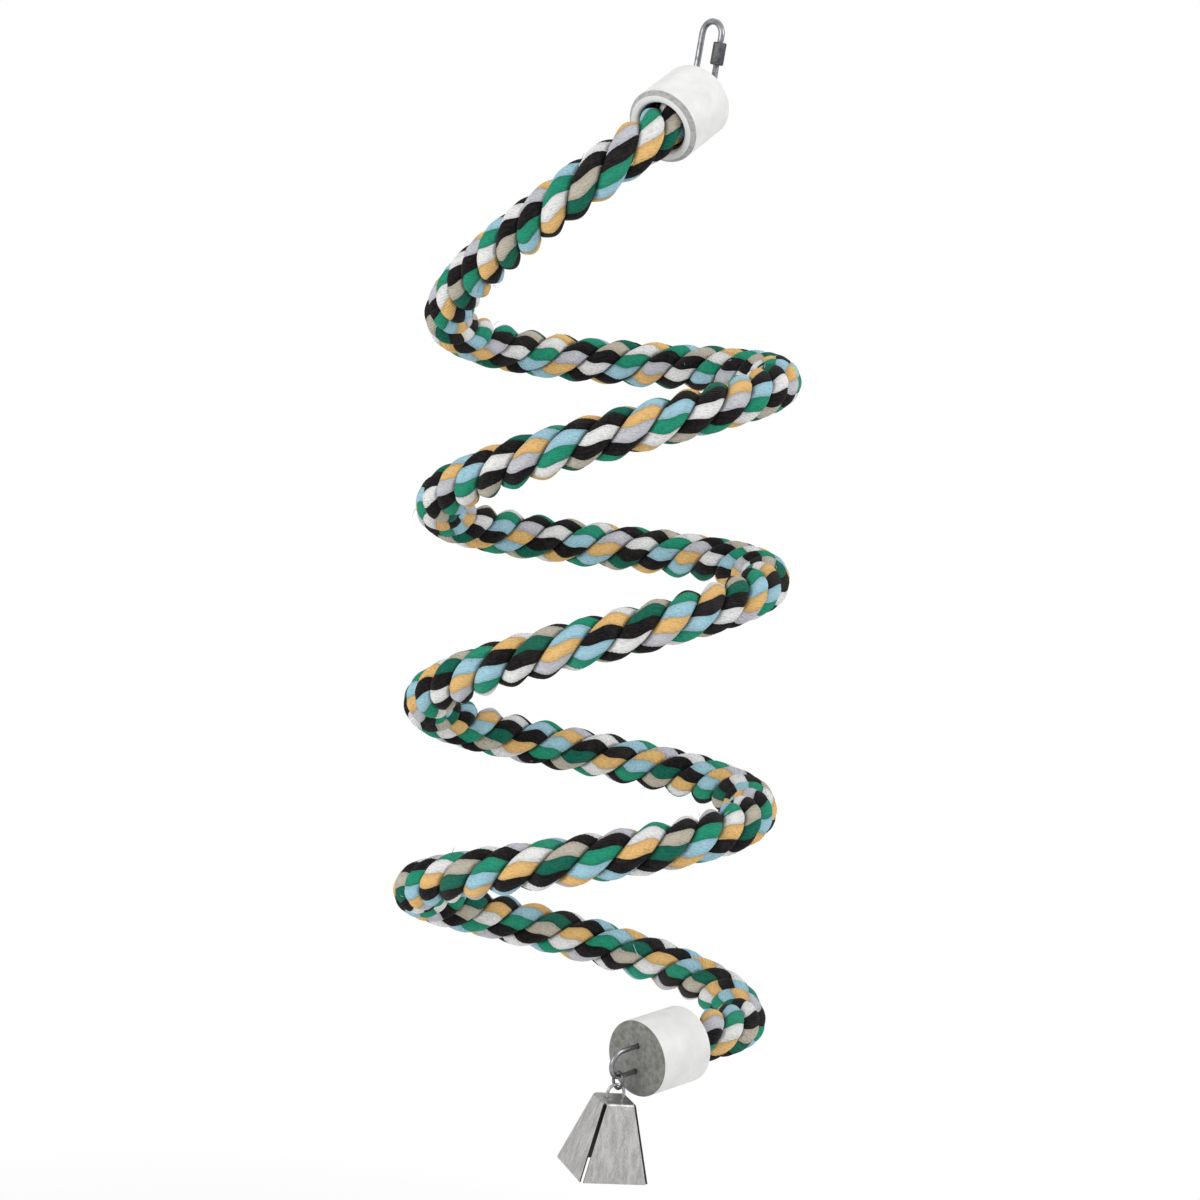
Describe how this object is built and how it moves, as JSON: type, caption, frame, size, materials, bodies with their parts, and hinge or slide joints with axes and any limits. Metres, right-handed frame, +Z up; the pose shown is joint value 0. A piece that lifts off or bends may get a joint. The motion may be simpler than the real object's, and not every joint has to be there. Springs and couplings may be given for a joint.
{
  "type": "hanging spiral rope perch",
  "caption": "Hanging spiral perch of coloured rope on a wire core, with end caps, a quick link to hang it by and a folded sheet bell at its lower end.",
  "frame": {"origin": "where the perch hangs: the inside of the quick link's upper bend", "axes": "+Z up along the line it hangs on, +X to the right and +Y away from the viewer of the reference view"},
  "size_m": [0.2497, 0.315, 0.5907],
  "materials": {
    "steel": "satin",
    "zinc": "satin",
    "nickel": "brushed",
    "cap": "matte",
    "rope": "matte",
    "core": "matte",
    "tape": "matte",
    "ball": "satin"
  },
  "bodies": {
    "hanger": {"quick_link_body": "steel"},
    "link_nut": {"quick_link_nut": "zinc"},
    "perch_upper": {"upper_end_cap": "cap", "upper_eye": "steel", "upper_ferrule": "zinc", "upper_end_tape": "tape", "rope_coil": "rope", "core_wire": "core"},
    "perch_lower": {"lower_end_cap": "cap", "lower_eye": "steel", "lower_ferrule": "zinc", "lower_end_tape": "tape"},
    "ring": {"bell_ring": "steel"},
    "bell": {"bell_shell": "nickel", "bell_bail": "steel"},
    "clapper": {"clapper_stem": "steel", "clapper_ball": "ball"}
  },
  "joints": [
    {"name": "nut_slide", "type": "slide", "parent": "hanger", "child": "link_nut", "axis": [0, 0, -1], "range_m": [0, 0.0069]},
    {"name": "perch_swing", "type": "hinge", "parent": "hanger", "child": "perch_upper", "pos_m": [0, 0, -0.0343], "axis": [0.7071, -0.7071, 0], "range_deg": [-32, 60]},
    {"name": "coil_bounce", "type": "slide", "parent": "perch_upper", "child": "perch_lower", "axis": [0, 0, -1], "range_m": [-0.03, 0.1], "stiffness_N_per_m": 120, "springref_m": -0.00556, "deforming": ["rope_coil", "core_wire"]},
    {"name": "ring_swing", "type": "hinge", "parent": "perch_lower", "child": "ring", "pos_m": [0.04416, -0.1276, -0.53609], "axis": [-0.6717, -0.7408, 0], "range_deg": [-35, 45]},
    {"name": "bell_swing", "type": "hinge", "parent": "ring", "child": "bell", "pos_m": [0.04416, -0.1276, -0.54229], "axis": [-0.5446, 0.8387, 0], "range_deg": [-10, 50]},
    {"name": "clapper_swing", "type": "hinge", "parent": "bell", "child": "clapper", "pos_m": [0.04416, -0.1276, -0.55119], "axis": [0.9272, 0.3746, 0], "range_deg": [-22, 22]}
  ]
}
